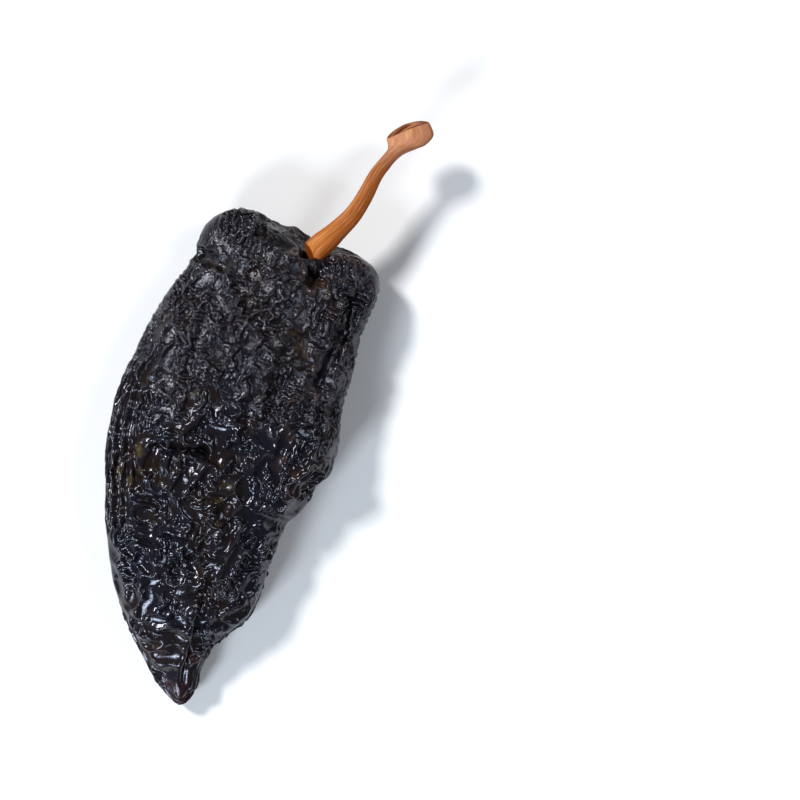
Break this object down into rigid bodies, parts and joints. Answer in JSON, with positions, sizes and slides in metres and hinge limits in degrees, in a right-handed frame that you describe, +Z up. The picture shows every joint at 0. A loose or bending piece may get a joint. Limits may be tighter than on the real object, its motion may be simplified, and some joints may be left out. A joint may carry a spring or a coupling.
{
  "type": "dried chilli pepper",
  "caption": "Broad, flattened dried chilli pepper lying on its back, with a wrinkled black pod and a hooked, dry orange-brown stem",
  "frame": {"origin": "On the resting surface, under the middle of the chilli's bounding box", "axes": "+Y runs from the pod's tip towards the stem, +Z is up from the resting surface, +X is to the right as seen from above with the stem away from the viewer"},
  "size_m": [0.0566, 0.1522, 0.0229],
  "materials": {
    "pod_skin": "satin",
    "stem_wood": "matte"
  },
  "bodies": {
    "root": {"pod": "pod_skin", "stem": "stem_wood"}
  },
  "joints": []
}
